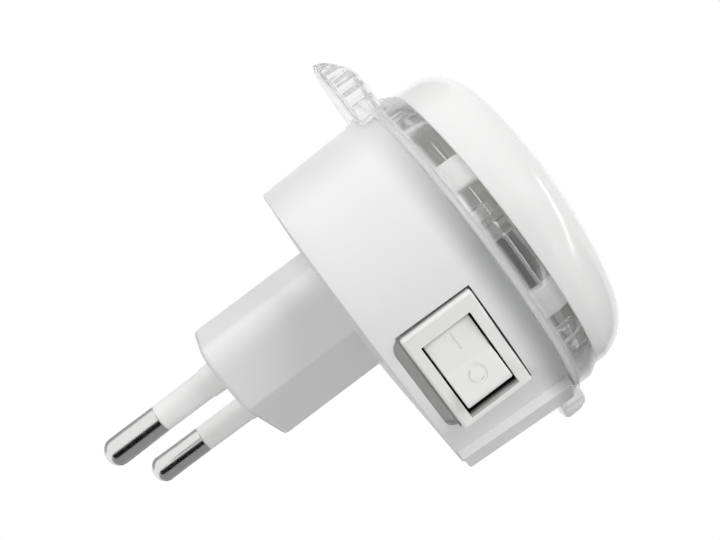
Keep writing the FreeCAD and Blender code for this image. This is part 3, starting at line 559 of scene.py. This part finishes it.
def floor_and_world():
    """A pale floor that keeps the object's shadow, and a world that is white where it is seen."""
    half, level = FLOOR_HALF, FLOOR_LEVEL
    mesh = bpy.data.meshes.new("floor")
    mesh.from_pydata([(-half, -half, level), (half, -half, level), (half, half, level),
                      (-half, half, level)], [], [(0, 1, 2, 3)])
    floor = bpy.data.objects.new("floor", mesh)
    bpy.context.scene.collection.objects.link(floor)
    look, tree, shader, where = blank("floor_white_card")
    tree.links.new(mottled(tree, where, "#F4F4F4", "#F0F0F0", 60.0), shader.inputs["Base Color"])
    shaded(tree, shader, Roughness=0.9, Emission_Color=linear("#FFFFFF"))
    path = add(tree, "ShaderNodeLightPath")
    pale = add(tree, "ShaderNodeMath", {0: path.outputs["Is Camera Ray"], 1: FLOOR_PALE},
               operation="MULTIPLY")
    tree.links.new(pale.outputs[0], shader.inputs["Emission Strength"])
    mesh.materials.append(look)
    world = bpy.data.worlds.new("white_room")
    bpy.context.scene.world = world
    world.use_nodes = True
    tree = world.node_tree
    tree.nodes.clear()
    path = add(tree, "ShaderNodeLightPath")
    seen = add(tree, "ShaderNodeMath",
               {0: path.outputs["Is Camera Ray"],
                1: path.outputs["Is Glossy Ray"]}, operation="MAXIMUM")
    seen = add(tree, "ShaderNodeMath",
               {0: seen.outputs[0], 1: path.outputs["Is Transmission Ray"]}, operation="MAXIMUM")
    strength = add(tree, "ShaderNodeMapRange",
                   {"Value": seen.outputs[0], "To Min": AMBIENT, "To Max": 1.0})
    back = add(tree, "ShaderNodeBackground",
               {"Color": (1, 1, 1, 1), "Strength": strength.outputs["Result"]})
    add(tree, "ShaderNodeOutputWorld", {"Surface": back.outputs["Background"]})


def faced(toward, distance, along, target=(0, -0.02, 0)):
    """A place along a direction, its local z facing the target and its local y near a given line."""
    way = Vector(toward).normalized()
    side = Vector(along).cross(way).normalized()
    turn = Matrix((side, way.cross(side), way)).transposed().to_4x4()
    return Matrix.Translation(Vector(target) + way * distance) @ turn


def area_light(name, toward, watts, size=(0.3, 0.3), along=(0, 0, 1), seen=False, distance=LAMP_DISTANCE):
    """A soft box along a direction; one that is seen shows in gloss and lights nothing else."""
    data = bpy.data.lights.new(name, "AREA")
    data.shape = "RECTANGLE"
    data.size, data.size_y = size
    data.energy = watts
    light = bpy.data.objects.new(name, data)
    bpy.context.scene.collection.objects.link(light)
    light.matrix_world = faced(toward, distance, along)
    light.visible_camera = False
    light.visible_glossy = seen
    light.visible_diffuse = not seen
    light.visible_transmission = seen


def card(name, toward, distance, size, along, tone, target):
    """A studio card beside the pins that only polished metal reflects."""
    half = np.array(size) / 2
    corners = [(-half[0], -half[1], 0), (half[0], -half[1], 0), (half[0], half[1], 0),
               (-half[0], half[1], 0)]
    mesh = bpy.data.meshes.new(name)
    mesh.from_pydata(corners, [], [(0, 1, 2, 3)])
    made = bpy.data.objects.new(name, mesh)
    bpy.context.scene.collection.objects.link(made)
    mesh.transform(faced(toward, distance, along, target))
    look, tree, shader, where = blank(name)
    shaded(tree, shader, Base_Color=linear("#000000"), Roughness=1.0, Specular_IOR_Level=0.0,
           Emission_Color=linear(tone),
           Emission_Strength=1.0)
    mesh.materials.append(look)
    for ray in ("camera", "diffuse", "transmission", "volume_scatter", "shadow"):
        setattr(made, "visible_" + ray, False)


def camera():
    data = bpy.data.cameras.new("photo_camera")
    data.sensor_width = SENSOR_MM
    data.lens = FOCAL_PX / FRAME_PX * SENSOR_MM
    data.clip_start = 0.005
    made = bpy.data.objects.new("photo_camera", data)
    bpy.context.scene.collection.objects.link(made)
    right, up = Vector(CAMERA_RIGHT).normalized(), Vector(CAMERA_UP).normalized()
    made.matrix_world = Matrix.Translation(CAMERA_AT) @ Matrix((right, up,
                                                                right.cross(up))).transposed().to_4x4()
    bpy.context.scene.camera = made


AMBIENT = 0.27

camera()
floor_and_world()
area_light("key_front", (-0.6, -0.8, -0.1), 1.13)
area_light("overhead", (-0.3, 0.0, 1.0), 1.0)
area_light("camera_top", (-0.75, -0.1, 0.6), 0.34)
area_light("camera_back", (-0.7, 0.7, -0.2), 0.58)
area_light("window_strip", (0.0, -0.93, -0.33), 0.42, (0.05, 0.46), (0.246, -0.327, 0.912),
           seen=True)
PINS_AT = (0.0, 0.014, 0.0)
card("card_black_before", (-0.74, 0.21, -0.64), 0.3, (0.21, 0.5), (0, 1, 0), "#050505", PINS_AT)
card("card_grey_above", (0.26, 0.2, 0.965), 0.26, (0.2, 0.6), (0, 1, 0), "#A8A8A8", PINS_AT)
card("card_grey_under", (0.14, 0.2, -0.97), 0.26, (0.39, 0.6), (0, 1, 0), "#969696", PINS_AT)
card("card_dark_behind", (0.94, 0.42, 0.33), 0.35, (0.4, 0.12), (0, 1, 0), "#141414", PINS_AT)
dome()
clear_ring()
pins()
carried_copy("rear_housing", "housing_moulded", HOUSING, sharp=9.5)
carried_copy("switch_housing", "switch_frame_moulded", FRAME_LOOK, sharp=10.0)
carried_copy("switch_rocker", "rocker_moulded", ROCKER_LOOK, "rocker", 10.0)
dress_carried()
bpy.context.scene.view_settings.view_transform = "Standard"
